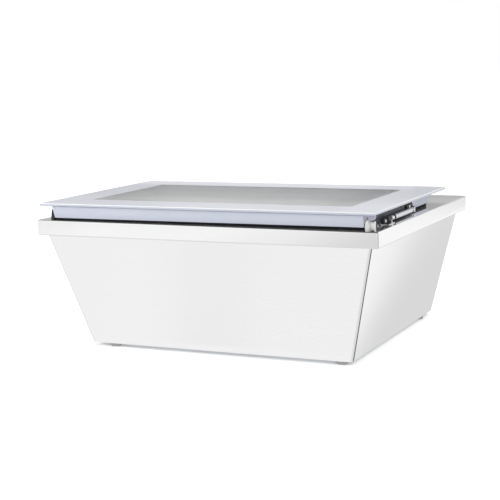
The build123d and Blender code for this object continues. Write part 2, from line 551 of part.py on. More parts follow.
stud += fillet(rod_x(377.6, 379.2, STUD_Y, STUD_Z, 3.6).edges().group_by(Axis.X)[-1], 1)
save("stay_stud", stud)
PLATE_IN, PLATE_OUT = 371.2, 373.7
PLATE_SCREWS = [(-270.0, 328.0), (-180.0, 328.0), (-98.0, 328.0)]
plate = box(PLATE_IN, PLATE_OUT, -300, -14, 306, GLASS_UNDER - 0.4)
plate = fillet(plate.edges().filter_by(Axis.X), 4)
SLOT_WIDTH = 2 * (PIN_RADIUS + 0.9)
slot = Rot(0, 0, SLOT_ANGLE) * Pos(SLOT_LENGTH / 2, 0) * SlotCenterToCenter(SLOT_LENGTH, SLOT_WIDTH)
slot_plane = Plane(origin=(PLATE_IN, STUD_Y, STUD_Z), x_dir=(0, 1, 0), z_dir=(1, 0, 0))
plate -= extrude(slot_plane * slot, 5, both=True)
for y, z in PLATE_SCREWS:
    plate += rod_x(362, PLATE_IN, y, z, 5.5)
plate -= frame_filled
for y, z in PLATE_SCREWS:
    plate -= rod_x(360, PLATE_OUT + 1, y, z, 2.0)
save("lid_side_plate", max(plate.solids(), key=lambda s: s.volume))
side_screws = []
for y, z in PLATE_SCREWS:
    head = fillet(rod_x(PLATE_OUT, PLATE_OUT + 1.8, y, z, 3.8).edges().group_by(Axis.X)[-1], 1)
    side_screws += (head + rod_x(370.4, PLATE_OUT, y, z, 2.0)).solids()
save("side_plate_screws", Compound(children=side_screws))
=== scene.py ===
"""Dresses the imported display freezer: finishes, printed lid pane, screws, dial marks and a plain studio."""

import math

import bmesh
import bpy
from mathutils import Matrix, Vector


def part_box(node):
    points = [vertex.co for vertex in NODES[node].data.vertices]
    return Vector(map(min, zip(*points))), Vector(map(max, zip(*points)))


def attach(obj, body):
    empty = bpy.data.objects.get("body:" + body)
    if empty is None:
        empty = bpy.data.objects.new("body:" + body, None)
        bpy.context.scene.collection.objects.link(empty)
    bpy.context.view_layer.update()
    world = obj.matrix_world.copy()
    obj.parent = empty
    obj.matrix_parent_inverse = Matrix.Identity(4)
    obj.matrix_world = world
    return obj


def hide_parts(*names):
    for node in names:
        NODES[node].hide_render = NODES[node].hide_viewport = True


bl_info = {
    "name": "Display freezer dressing",
    "version": (1, 0, 0),
    "blender": (4, 5, 0),
    "location": "View3D > Sidebar > Freezer",
    "description": "Gives the packed freezer its finishes, its printed lid pane, its screws and a studio",
    "category": "Object",
}

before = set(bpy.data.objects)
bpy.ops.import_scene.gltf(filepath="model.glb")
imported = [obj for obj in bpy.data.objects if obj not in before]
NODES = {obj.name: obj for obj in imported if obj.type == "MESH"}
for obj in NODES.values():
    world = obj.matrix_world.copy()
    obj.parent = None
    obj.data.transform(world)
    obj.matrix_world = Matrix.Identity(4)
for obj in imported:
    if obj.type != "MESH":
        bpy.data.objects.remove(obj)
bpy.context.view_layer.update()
PANE_LOW, PANE_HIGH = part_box("lid_glass")
KNOB_LOW, KNOB_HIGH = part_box("thermostat_knob")
REAR_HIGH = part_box("rear_panel")[1]
PLATE_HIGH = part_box("lid_side_plate")[1]
TO_RIGHT = Vector((1.0, 0.0, 0.0))
TO_REAR = Vector((0.0, 1.0, 0.0))
TO_TOP = Vector((0.0, 0.0, 1.0))
# Scale of a sheet's noise along x, y and z, low along its grain
GRAIN_ACROSS = (4.0, 900.0, 900.0)
GRAIN_ALONG = (900.0, 4.0, 900.0)
GRAIN_ROUND = (6.0, 6.0, 700.0)
WHITE = (1.0, 1.0, 1.0, 1.0)


def number(title, words, default, unit="NONE"):
    """A property for a number that isn't negative."""
    return bpy.props.FloatProperty(name=title, description=words, default=default, min=0.0, unit=unit)


def length(title, words, default):
    """A property for a length."""
    return number(title, words, default, "LENGTH")


def place(title, words, default):
    """A property for a place along one axis."""
    return bpy.props.FloatProperty(name=title, description=words, default=default, unit="LENGTH")


def spot(title, words, default):
    """A property for a point."""
    return bpy.props.FloatVectorProperty(
        name=title, description=words, default=default, size=3, subtype="TRANSLATION", unit="LENGTH"
    )


def turn(title, words, degrees):
    """A property for an angle."""
    return bpy.props.FloatProperty(
        name=title, description=words, default=math.radians(degrees), unit="ROTATION"
    )


def share(title, words, default):
    """A property for a share from nought to one."""
    return bpy.props.FloatProperty(
        name=title, description=words, default=default, min=0.0, max=1.0, subtype="FACTOR"
    )


def tint(title, words, default):
    """A property for a colour."""
    return bpy.props.FloatVectorProperty(
        name=title, description=words, default=default, size=3, min=0.0, max=1.0, subtype="COLOR"
    )


class FreezerSizes(bpy.types.PropertyGroup):
    """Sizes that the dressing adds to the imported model."""

    window_left: place("Window left", "Left end of the clear window", -0.3110)
    window_right: place("Window right", "Right end of the clear window", 0.3155)
    window_front: place("Window front", "Y of the window's front edge", -0.2426)
    window_back: place("Window back", "Y of the window's back edge", 0.0885)
    window_corner: length("Window corner", "Corner radius of the clear window", 0.002)
    pane_corner: length("Pane corner", "Corner radius of the pane", 0.0015)
    pane_arris: length("Pane arris", "Width of the ground edge round the pane's upper face", 0.0015)
    # The dark under edge is painted shade under the pane
    pane_under: length("Pane under edge", "Width of the dark ground edge round the pane's lower face", 0.0005)
    casing_lean: number("Casing lean", "How far the casing widens per height, on each side", 0.262)
    rear_screw: length("Rear screw head", "Head radius of the rear panel's screws", 0.004)
    rear_screw_rise: length("Rear screw rise", "Head height of the rear panel's screws", 0.0022)
    plate_screw: length("Plate screw head", "Head radius of the side plate's screws", 0.0038)
    plate_screw_rise: length("Plate screw rise", "Head height of the side plate's screws", 0.0018)
    dial_radius: length("Dial radius", "Radius of the ring of marks round the knob", 0.0215)
    dial_marks: bpy.props.IntProperty(
        name="Dial marks", description="Marks round the knob", default=11, min=2
    )
    mark_length: length("Mark length", "Length of a mark round the knob", 0.003)
    mark_width: length("Mark width", "Width of a mark round the knob", 0.0008)
    mark_height: length("Mark height", "Thickness of a mark, half of it in the panel", 0.0003)


class FreezerColours(bpy.types.PropertyGroup):
    """Colours of the freezer's finishes."""

    panel: tint("Panel steel", "Satin sheet of the casing", (0.885, 0.883, 0.887))
    deck: tint("Deck steel", "Satin sheet of the rim and the tub", (0.915, 0.922, 0.916))
    zinc: tint("Zinc coat", "Galvanised base pan", (0.56, 0.58, 0.60))
    lilac: tint("Lid plastic", "Moulded lid frame", (0.62, 0.655, 0.755))
    # Painted shade: the lug's tone is darker than the lid plastic, for the shade under the pane
    lug: tint("Lug plastic", "Round lug under the pane", (0.38, 0.38, 0.48))
    glass: tint("Clear glass", "Panes where they are clean", (0.97, 0.985, 0.98))
    wiped: tint("Wiped glass", "Panes where wiping marks lie", (0.94, 0.955, 0.95))
    # Painted light: the edge tone stands for the light carried inside the glass
    edge: tint("Pane edge", "Ground side of the pane", (0.53, 0.56, 0.655))
    print_tone: tint("Pane print", "Printed border under the glass", (0.72, 0.745, 0.83))
    white: tint("White plastic", "Saddle block, collar and the knob's pointer", (0.74, 0.74, 0.73))
    black: tint("Black plastic", "Controls and small mouldings", (0.018, 0.018, 0.020))
    rubber: tint("Black rubber", "Seals and mounts", (0.012, 0.012, 0.014))
    paint: tint("Black paint", "Paint of the compressor and the plate's screws", (0.020, 0.021, 0.024))
    slate: tint("Slate paint", "Painted plate on the lid's side", (0.060, 0.065, 0.080))
    bright: tint("Bright steel", "Stay, pins, screws and feet", (0.78, 0.78, 0.80))
    copper: tint("Copper", "Refrigerant tube", (0.66, 0.34, 0.21))
    aluminium: tint("Aluminium", "Fins and fan", (0.78, 0.79, 0.80))
    foam: tint("Foam", "Insulation", (0.80, 0.72, 0.46))


class FreezerStudio(bpy.types.PropertyGroup):
    """Camera, floor and light."""

    camera_place: spot("Camera place", "Where the camera stands", (1.2265, -2.7469, 0.6551))
    yaw: turn("Yaw", "Camera's turn to the left", 24.603)
    pitch: turn("Pitch", "Camera's tilt down", 8.644)
    roll: turn("Roll", "Camera's roll", 1.413)
    lens: number("Lens", "Focal length of the camera", 92.642, "CAMERA")
    sensor: number("Sensor", "Width of the camera's sensor", 36.0, "CAMERA")
    fill: share("Fill light", "Level of the light from all round", 0.60)
    key_power: number("Key power", "Power of the soft box at the left front", 26.0, "POWER")
    key_size: length("Key size", "Side of the soft box", 1.4)
    key_place: spot("Key place", "Where the soft box stands", (-1.7, -2.0, 1.3))
    sun_level: number("Sun level", "Strength of the wide sun from above", 1.25)
    sun_spread: turn("Sun spread", "Angle that the sun's disc spans", 90.0)
    sun_place: spot("Sun place", "Point from which the sun shines", (0.9, 0.6, 1.6))
    lit_point: spot("Lit point", "Point that the soft box and the sun face", (0.0, 0.0, 0.2))
    floor_reach: length("Floor reach", "Half of the floor's side", 30.0)
    floor_grey: share("Floor grey", "Grey of the floor's paint", 0.93)
    floor_gain: number("Floor gain", "How brightly the camera sees the lit floor", 1.4)
    floor_glow: share("Floor glow", "Level that the floor shows where no light falls", 0.02)
    dark_grey: share("Dark grey", "Grey of the room's right front, seen in reflections", 0.25)
    corner_grey: share("Corner grey", "Grey of the floor far at the right, seen in reflections", 0.45)
    top_grey: share("Ceiling grey", "Grey of the ceiling, seen in reflections", 0.72)


# Node trees


class Wire:
    """A node's output that can be used in sums."""

    def __init__(self, graph, socket):
        self.graph = graph
        self.socket = socket

    def sum(self, operation, first, second):
        return self.graph.node("ShaderNodeMath", {"operation": operation}, {0: first, 1: second})

    def __add__(self, other):
        return self.sum("ADD", self, other)

    def __radd__(self, other):
        return self.sum("ADD", other, self)

    def __sub__(self, other):
        return self.sum("SUBTRACT", self, other)

    def __rsub__(self, other):
        return self.sum("SUBTRACT", other, self)

    def __mul__(self, other):
        return self.sum("MULTIPLY", self, other)

    def __rmul__(self, other):
        return self.sum("MULTIPLY", other, self)

    def __or__(self, other):
        return self.sum("MAXIMUM", self, other)


class Graph:
    """A node tree that is built by calls."""

    def __init__(self, tree):
        self.tree = tree
        self.tree.nodes.clear()

    def node(self, kind, settings=None, inputs=None, out=0):
        """Adds one node: its settings first, then values or links of its sockets."""
        made = self.tree.nodes.new(kind)
        for key, value in (settings or {}).items():
            if key == "stops":
                elements = made.color_ramp.elements
                while len(elements) < len(value):
                    elements.new(1.0)
                for element, (position, level) in zip(elements, value):
                    element.position = position
                    element.color = (level, level, level, 1.0)
            else:
                setattr(made, key, value)
        for key, value in (inputs or {}).items():
            if isinstance(value, Wire):
                self.tree.links.new(value.socket, made.inputs[key])
            else:
                made.inputs[key].default_value = value
        return Wire(self, made.outputs[out]) if made.outputs else made

    def rays(self, kind, *others):
        """One for rays of any of the given kinds."""
        total = self.node("ShaderNodeLightPath", out="Is " + kind + " Ray")
        for other in others:
            total = total | self.node("ShaderNodeLightPath", out="Is " + other + " Ray")
        return total


class Finish(Graph):
    """A material of the freezer."""

    def __init__(self, name):
        self.material = bpy.data.materials.new(name)
        self.material.use_nodes = True
        super().__init__(self.material.node_tree)
        self.here = self.node("ShaderNodeTexCoord", out="Object")

    def noise(self, scale, detail=3.0, stretch=(1.0, 1.0, 1.0)):
        """Noise that sticks to the piece."""
        spread = self.node("ShaderNodeMapping", {}, {"Vector": self.here, "Scale": stretch})
        values = {"Vector": spread, "Scale": scale, "Detail": detail, "Roughness": 0.55}
        return self.node("ShaderNodeTexNoise", {}, values, "Fac")

    def ramp(self, value, low, high):
        """Nought below the low level, one above the high one."""
        return self.node("ShaderNodeValToRGB", {"stops": [(low, 0.0), (high, 1.0)]}, {"Fac": value})

    def fade(self, value, start, end):
        """Nought at the start and before it, one at the end and past it, and even between."""
        return self.node("ShaderNodeMapRange", {}, {"Value": value, "From Min": start, "From Max": end})

    def axes(self):
        """The x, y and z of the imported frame."""
        split = self.node("ShaderNodeSeparateXYZ", {}, {"Vector": self.here})
        return [Wire(self, socket) for socket in split.socket.node.outputs]

    def graded(self, along, levels):
        """A grey that changes along one direction, from places and levels."""
        start, end = levels[0][0], levels[-1][0]
        x, y, z = self.axes()
        where = x * along[0] + y * along[1] + z * along[2]
        stops = [((value - start) / (end - start), level) for value, level in levels]
        part = (where - start) * (1 / (end - start))
        return self.node("ShaderNodeValToRGB", {"stops": stops}, {"Fac": part})

    def mix(self, factor, first, second):
        """The first colour turning into the second one."""
        first, second = [c if isinstance(c, Wire) else (*c, 1.0) for c in (first, second)]
        # Sockets 6 and 7 and output 2 are the node's colours
        values = {0: factor, 6: first, 7: second}
        return self.node("ShaderNodeMix", {"data_type": "RGBA"}, values, 2)

    def bump(self, height, strength, distance):
        """A normal that follows a height."""
        values = {"Height": height, "Strength": strength, "Distance": distance}
        return self.node("ShaderNodeBump", {}, values)

    def principled(self, **values):
        """The main shader, its sockets named with _ for a space."""
        named = {key.replace("_", " "): value for key, value in values.items()}
        return self.node("ShaderNodeBsdfPrincipled", {}, named)

    def done(self, shader):
        """The material, ended by its shader."""
        self.node("ShaderNodeOutputMaterial", {}, {"Surface": shader})
        return self.material


def shade(colour, level):
    """The colour made lighter or darker, kept within white."""
    return tuple(min(1.0, c * level) for c in colour)


def flat_grey(level):
    """A grey as a colour socket takes it."""
    return (level, level, level, 1.0)


# Finishes


def front_bends_painted_shade(finish):
    """Painted shade beside the front panel's bent side edges, which lean outward going up: where it is clear,
    and its tone.
    """
    lean = bpy.context.scene.freezer_sizes.casing_lean
    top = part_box("front_panel")[1]
    # Painted shade: the panel's tone drops near the bends, standing for their darker reflection
    tone = 0.74
    x, _, z = finish.axes()
    inward = top.x - (top.z - z) * lean - (x | (x * -1.0))
    return finish.fade(inward, start=0.0, end=0.0055), tone


def rim_hem_painted_shade(finish):
    """Painted shade along the folded lower edge of the rim's skirt: where the sheet is clear of it, and its
    tone.
    """
    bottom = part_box("top_deck")[0].z
    # Painted shade: the sheet darkened along its lower edge, where a shadow line lies
    tone = 0.72
    z = finish.axes()[2]
    return finish.fade(z - bottom, start=0.0008, end=0.0030), tone


def rim_lip_painted_reflection(finish):
    """Painted reflection of the gap under the lid on the rim's upper front bend: where it is clear, and its
    tone.
    """
    low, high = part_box("top_deck")
    slant = 0.0016
    # Painted reflection: a near-black tone painted on the bend for the dark gap it mirrors
    tone = 0.12
    x, y, z = finish.axes()
    below = finish.fade(high.z - z - x * slant, start=0.00100, end=0.00144)
    behind = finish.fade(y - low.y, start=0.002, end=0.003)
    return below | behind, tone


def satin_steel(name, colour, grain, rough=0.26, metal=1.0, edges=()):
    """Steel sheet with a fine grain and faint clouds, darker along the given edges with painted shade and
    painted reflection.
    """
    finish = Finish(name)
    streak = finish.noise(1.0, 4.0, grain)
    cloud = finish.noise(2.6, 2.0)
    tone = finish.mix(streak, shade(colour, 0.99), shade(colour, 1.01))
    # Each edge paints shade or a reflection onto the tone
    for edge in edges:
        clear, level = edge(finish)
        tone = finish.mix(clear, shade(colour, level), tone)
    return finish.done(
        finish.principled(
            Base_Color=tone,
            Metallic=metal,
            Roughness=rough * (0.75 + 0.30 * streak + 0.20 * cloud),
            Normal=finish.bump(streak, 0.3 * rough, 0.0002),
        )
    )


def zinc_sheet(name, colour):
    """Galvanised sheet with its flat crystals."""
    finish = Finish(name)
    crystal = finish.node("ShaderNodeTexVoronoi", {}, {"Vector": finish.here, "Scale": 90.0}, "Color")
    grey = finish.node("ShaderNodeRGBToBW", {}, {"Color": crystal})
    return finish.done(
        finish.principled(
            Base_Color=finish.mix(grey, shade(colour, 0.85), shade(colour, 1.12)),
            Metallic=0.9,
            Roughness=0.36 + 0.16 * grey,
            Normal=finish.bump(grey, 0.04, 0.0003),
        )
    )


def moulded(name, colour, rough, grain, coat=0.0, painted_shadow_top=None):
    """Moulded plastic with a fine texture and uneven colour, with a painted shadow band at its top where a
    pane overhangs it.
    """
    finish = Finish(name)
    fine = finish.noise(grain, 2.0)
    cloud = finish.noise(6.0, 3.0)
    tone = finish.mix(cloud, shade(colour, 0.96), shade(colour, 1.04))
    if painted_shadow_top is not None:
        # Painted shadow: a darker band just below the given top height
        z = finish.axes()[2]
        clear = finish.fade(painted_shadow_top - z, start=0.0010, end=0.0028)
        tone = finish.mix(clear, shade(colour, 0.5), tone)
    return finish.done(
        finish.principled(
            Base_Color=tone,
            Roughness=rough - 0.04 + 0.08 * fine + 0.05 * cloud,
            Coat_Weight=coat,
            Normal=finish.bump(fine, 0.06, 0.0003),
        )
    )


def knob_plastic(name, colour, paint, face):
    """Dark plastic with light paint in the groove below the face that shows where the knob points."""
    finish = Finish(name)
    x, y, z = finish.axes()
    aside = x - face.x
    depth = face.y - y
    reach = z - face.z
    beside = finish.fade(aside | (aside * -1.0), start=0.00086, end=0.00094)
    over = finish.fade(depth, start=0.0006, end=0.0004)
    under = finish.fade(depth, start=0.0010, end=0.0012)
    beyond = finish.fade(reach, start=0.0150, end=0.0152)
    short = finish.fade(reach, start=0.0050, end=0.0048)
    plain = beside | over | under | beyond | short
    return finish.done(
        finish.principled(
            Base_Color=finish.mix(plain, paint, colour),
            Roughness=0.30 + 0.12 * finish.noise(600.0, 2.0),
        )
    )


def seal_rubber(name, colour):
    """Rubber with a dull bloom."""
    finish = Finish(name)
    bloom = finish.ramp(finish.noise(24.0, 4.0), 0.42, 0.75)
    fine = finish.noise(900.0, 2.0)
    return finish.done(
        finish.principled(
            Base_Color=finish.mix(bloom, colour, shade(colour, 2.0)),
            Roughness=0.74 + 0.14 * bloom,
            Specular_IOR_Level=0.15,
            Normal=finish.bump(fine, 0.10, 0.0003),
        )
    )


def black_enamel(name, colour):
    """Sprayed enamel with a slight orange peel."""
    finish = Finish(name)
    peel = finish.noise(520.0, 1.0)
    dust = finish.ramp(finish.noise(18.0, 5.0), 0.5, 0.85)
    return finish.done(
        finish.principled(
            Base_Color=finish.mix(dust, colour, shade(colour, 1.5)),
            Roughness=0.42 + 0.18 * dust,
            Specular_IOR_Level=0.3,
            Normal=finish.bump(peel, 0.10, 0.0003),
        )
    )


def bright_metal(name, colour, rough=0.16):
    """Plated steel with fine turning marks."""
    finish = Finish(name)
    mark = finish.noise(700.0, 2.0, (0.1, 1.0, 1.0))
    cloud = finish.noise(60.0, 3.0)
    return finish.done(
        finish.principled(
            Base_Color=finish.mix(cloud, shade(colour, 0.92), shade(colour, 1.06)),
            Metallic=1.0,
            Roughness=rough + 0.08 * mark + 0.08 * cloud,
            Normal=finish.bump(mark, 0.04, 0.0002),
        )
    )


def drawn_copper(name, colour):
    """Copper tube with brown tarnish."""
    finish = Finish(name)
    brown = finish.ramp(finish.noise(35.0, 5.0), 0.38, 0.72)
    return finish.done(
        finish.principled(
            Base_Color=finish.mix(brown, colour, shade(colour, 0.62)),
            Metallic=1.0,
            Roughness=0.26 + 0.24 * brown,
        )
    )


def rigid_foam(name, colour):
    """Cut polyurethane foam with its cells."""
    finish = Finish(name)
    cell = finish.node("ShaderNodeTexVoronoi", {}, {"Vector": finish.here, "Scale": 650.0}, "Distance")
    cloud = finish.noise(14.0, 4.0)
    return finish.done(
        finish.principled(
            Base_Color=finish.mix(cloud, shade(colour, 0.86), shade(colour, 1.08)),
            Roughness=0.86 + 0.10 * cell,
            Normal=finish.bump(cell, 0.35, 0.0008),
        )
    )


def clear_glass(name, colours):
    """Clear glass with faint wiping marks."""
    finish = Finish(name)
    wiped = finish.ramp(finish.noise(5.0, 5.0, (1.0, 2.4, 1.0)), 0.52, 0.80)
    return finish.done(
        finish.principled(
            Base_Color=finish.mix(wiped, colours.glass, colours.wiped),
            Roughness=0.015 + 0.05 * wiped,
            IOR=1.5,
            Transmission_Weight=1.0,
        )
    )


def printed_glass(name, colour):
    """Enamel print seen through the pane's gloss."""
    finish = Finish(name)
    fine = finish.noise(420.0, 3.0)
    cloud = finish.noise(4.0, 3.0)
    return finish.done(
        finish.principled(
            Base_Color=finish.mix(cloud, shade(colour, 0.97), shade(colour, 1.03)),
            Roughness=0.30 + 0.06 * fine,
            Coat_Weight=0.55 - 0.04 * cloud,
            Coat_Roughness=0.02,
            Coat_IOR=1.5,
        )
    )


def ground_edge(name, colour):
    """The pane's ground and polished rim, its colour painted light that stands for the light inside the
    glass.
    """
    finish = Finish(name)
    grind = finish.noise(500.0, 2.0, (0.2, 0.2, 3.0))
    return finish.done(
        finish.principled(
            Base_Color=finish.mix(grind, shade(colour, 0.98), shade(colour, 1.10)),
            Roughness=0.16 + 0.14 * grind,
            Coat_Weight=0.6,
            Normal=finish.bump(grind, 0.05, 0.0002),
        )
    )


def dress(material, *names):
    """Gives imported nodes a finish."""
    for name in names:
        mesh = NODES[name].data
        mesh.materials.clear()
        mesh.materials.append(material)


# Meshes


def add_piece(name, mesh, body, stands_for=()):
    """Adds a finished mesh that rides on a body."""
    piece = bpy.data.objects.new(name, mesh)
    bpy.context.scene.collection.objects.link(piece)
    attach(piece, body)
    if stands_for:
        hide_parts(*stands_for)


def rounded_ring(x0, x1, y0, y1, radius, z, steps=6):
    """Points round a level rectangle with rounded corners."""
    corners = (
        (x1 - radius, y1 - radius),
        (x0 + radius, y1 - radius),
        (x0 + radius, y0 + radius),
        (x1 - radius, y0 + radius),
    )
    points = []
    for quarter, (x, y) in enumerate(corners):
        for i in range(steps + 1):
            angle = math.pi / 2 * (quarter + i / steps)
            points.append((x + radius * math.cos(angle), y + radius * math.sin(angle), z))
    return points


# Order of the pane's materials
WINDOW, PRINT, ARRIS, EDGE, UNDER_SHADE = range(5)


def pane_mesh(sizes):
    """The top pane: clear window, printed border and ground edge, as one closed mesh."""
    x0, y0, z0 = PANE_LOW
    x1, y1, z1 = PANE_HIGH
    arris, under = sizes.pane_arris, sizes.pane_under
    outer = sizes.pane_corner
    left, right = sizes.window_left, sizes.window_right
    front, back = sizes.window_front, sizes.window_back
    high = (x0 + arris, x1 - arris, y0 + arris, y1 - arris, outer)
    low = (x0 + under, x1 - under, y0 + under, y1 - under, outer)
    rings = [
        rounded_ring(left, right, front, back, sizes.window_corner, z0),
        rounded_ring(*low, z0),
        rounded_ring(x0, x1, y0, y1, outer, z0 + under),
        rounded_ring(x0, x1, y0, y1, outer, z1 - arris),
        rounded_ring(*high, z1),
        rounded_ring(left, right, front, back, sizes.window_corner, z1),
    ]
    band_slots = (PRINT, UNDER_SHADE, EDGE, ARRIS, PRINT)
    work = bmesh.new()
    loops = [[work.verts.new(p) for p in ring] for ring in rings]
    count = len(loops[0])
    for ring, upper, slot in zip(loops, loops[1:], band_slots):
        for i in range(count):
            j = (i + 1) % count
            work.faces.new((ring[i], ring[j], upper[j], upper[i])).material_index = slot
    work.faces.new(loops[0])
    work.faces.new(loops[-1])
    bmesh.ops.recalc_face_normals(work, faces=work.faces)
    mesh = bpy.data.meshes.new("lid_pane")
    work.to_mesh(mesh)
    work.free()
    return mesh


def grown_mesh(name, points, tree, values):
    """Runs a geometry tree on a set of points and returns its result as a plain mesh."""
    seed = bpy.data.meshes.new(name + "_points")
    seed.from_pydata([tuple(p) for p in points], [], [])
    holder = bpy.data.objects.new(name + "_points", seed)
    bpy.context.scene.collection.objects.link(holder)
    modifier = holder.modifiers.new("Grow", "NODES")
    modifier.node_group = tree
    for item in tree.interface.items_tree:
        if item.in_out == "INPUT" and item.name in values:
            modifier[item.identifier] = values[item.name]
    depsgraph = bpy.context.evaluated_depsgraph_get()
    mesh = bpy.data.meshes.new_from_object(holder.evaluated_get(depsgraph))
    mesh.name = name
    holder.modifiers.clear()
    bpy.data.objects.remove(holder)
    return mesh


class Grower(Graph):
    """A geometry tree with named inputs."""

    def __init__(self, name, inputs):
        super().__init__(bpy.data.node_groups.new(name, "GeometryNodeTree"))
        face = self.tree.interface
        face.new_socket("Geometry", in_out="INPUT", socket_type="NodeSocketGeometry")
        for title, kind in inputs.items():
            face.new_socket(title, in_out="INPUT", socket_type="NodeSocket" + kind)
        face.new_socket("Geometry", in_out="OUTPUT", socket_type="NodeSocketGeometry")
        self.entry = self.tree.nodes.new("NodeGroupInput")

    def given(self, title):
        """One of the tree's own inputs."""
        return Wire(self, self.entry.outputs[title])

    def vector(self, x, y, z):
        """A vector from three values."""
        return self.node("ShaderNodeCombineXYZ", {}, {"X": x, "Y": y, "Z": z})

    def disc(self, sides, top, bottom, depth):
        """A short cone with flat ends."""
        values = {"Vertices": sides, "Radius Top": top, "Radius Bottom": bottom, "Depth": depth}
        return self.node("GeometryNodeMeshCone", {"fill_type": "NGON"}, values, "Mesh")

    def block(self, x, y, z):
        """A block with the given sides."""
        return self.node("GeometryNodeMeshCube", {}, {"Size": self.vector(x, y, z)}, "Mesh")

    def raised(self, geometry, height):
        """The geometry moved up."""
        values = {"Geometry": geometry, "Translation": self.vector(0.0, 0.0, height)}
        return self.node("GeometryNodeTransform", {}, values)

    def facing(self, axis, direction):
        """The rotation that turns an axis to a direction."""
        return self.node("FunctionNodeAlignRotationToVector", {"axis": axis}, {"Vector": direction})

    def copies(self, points, shape, **turned):
        """The shape on each point, turned where a rotation is given."""
        values = {"Points": points, "Instance": shape, **turned}
        return self.node("GeometryNodeInstanceOnPoints", {}, values)

    def real(self, geometry):
        """Instances made plain meshes."""
        return self.node("GeometryNodeRealizeInstances", {}, {"Geometry": geometry})

    def done(self, geometry, material):
        """The tree, ended by plain meshes in one material."""
        values = {"Geometry": self.real(geometry), "Material": material}
        coated = self.node("GeometryNodeSetMaterial", {}, values)
        self.node("NodeGroupOutput", {}, {"Geometry": coated})
        return self.tree


def screw_tree(material):
    """Pan heads with a cross recess on each point, turned to the given axis."""
    inputs = {"Head Radius": "Float", "Head Height": "Float", "Axis": "Vector"}
    grow = Grower("Screw heads", inputs)
    radius, height = grow.given("Head Radius"), grow.given("Head Height")
    sides = 28
    rim_share, crown_share, crown_taper = 0.45, 0.55, 0.66
    slot_width, slot_reach, slot_middle = 0.26, 1.15, 0.95
    rim = grow.disc(sides, radius, radius, height * rim_share)
    crown = grow.disc(sides, radius * crown_taper, radius, height * crown_share)
    crown = grow.raised(crown, height * rim_share)
    cut = {"operation": "DIFFERENCE", "solver": "MANIFOLD"}
    for wide, long in ((slot_width, slot_reach), (slot_reach, slot_width)):
        bar = grow.raised(grow.block(radius * wide, radius * long, height), height * slot_middle)
        crown = grow.node("GeometryNodeMeshBoolean", cut, {"Mesh 1": crown, "Mesh 2": bar}, "Mesh")
    whole = grow.node("GeometryNodeJoinGeometry", {}, {"Geometry": rim})
    grow.tree.links.new(crown.socket, whole.socket.node.inputs["Geometry"])
    outward = grow.facing("Z", grow.given("Axis"))
    return grow.done(grow.copies(grow.given("Geometry"), whole, Rotation=outward), material)


def dial_tree(material):
    """Short marks on an arc round the knob, in the plane of the rear panel."""
    inputs = {"Radius": "Float", "Marks": "Int"}
    inputs.update({"Mark " + size: "Float" for size in ("Length", "Width", "Height")})
    grow = Grower("Dial marks", inputs)
    first_angle, sweep, quarter = math.radians(-45.0), math.radians(270.0), math.radians(90.0)
    values = {
        "Resolution": grow.given("Marks"),
        "Radius": grow.given("Radius"),
        "Start Angle": first_angle,
        "Sweep Angle": sweep,
    }
    arc = grow.node("GeometryNodeCurveArc", {}, values, "Curve")
    spots = grow.node("GeometryNodeCurveToPoints", {"mode": "EVALUATED"}, {"Curve": arc}, "Points")
    outward = grow.facing("X", grow.node("GeometryNodeInputPosition"))
    mark = grow.block(grow.given("Mark Length"), grow.given("Mark Width"), grow.given("Mark Height"))
    ring = grow.real(grow.copies(spots, mark, Rotation=outward))
    values = {"Geometry": ring, "Rotation": (quarter, 0.0, 0.0)}
    upright = grow.node("GeometryNodeTransform", {}, values)
    return grow.done(grow.copies(grow.given("Geometry"), upright), material)


def screw_middles(node):
    """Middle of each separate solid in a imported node."""
    work = bmesh.new()
    work.from_mesh(NODES[node].data)
    same_place, digits = 1e-6, 4
    bmesh.ops.remove_doubles(work, verts=work.verts, dist=same_place)
    unseen = set(work.verts)
    middles = []
    while unseen:
        solid, waiting = set(), [unseen.pop()]
        while waiting:
            vert = waiting.pop()
            solid.add(vert)
            for link in vert.link_edges:
                other = link.other_vert(vert)
                if other in unseen:
                    unseen.remove(other)
                    waiting.append(other)
        low = Vector([min(v.co[i] for v in solid) for i in range(3)])
        high = Vector([max(v.co[i] for v in solid) for i in range(3)])
        middles.append((low + high) / 2)
    work.free()
    return sorted(middles, key=lambda p: [round(value, digits) for value in (p.z, p.x, p.y)])


# Stage


def flat(x0, x1, y0, y1, z):
    """Corners of a level rectangle."""
    return [(x0, y0, z), (x1, y0, z), (x1, y1, z), (x0, y1, z)]


def wall(x0, x1, z0, z1, y):
    """Corners of an upright rectangle that runs from left to right."""
    return [(x0, y, z0), (x1, y, z0), (x1, y, z1), (x0, y, z1)]


def even(level):
    """A grade with one level all over."""
    return TO_RIGHT, ((0.0, level), (1.0, level))


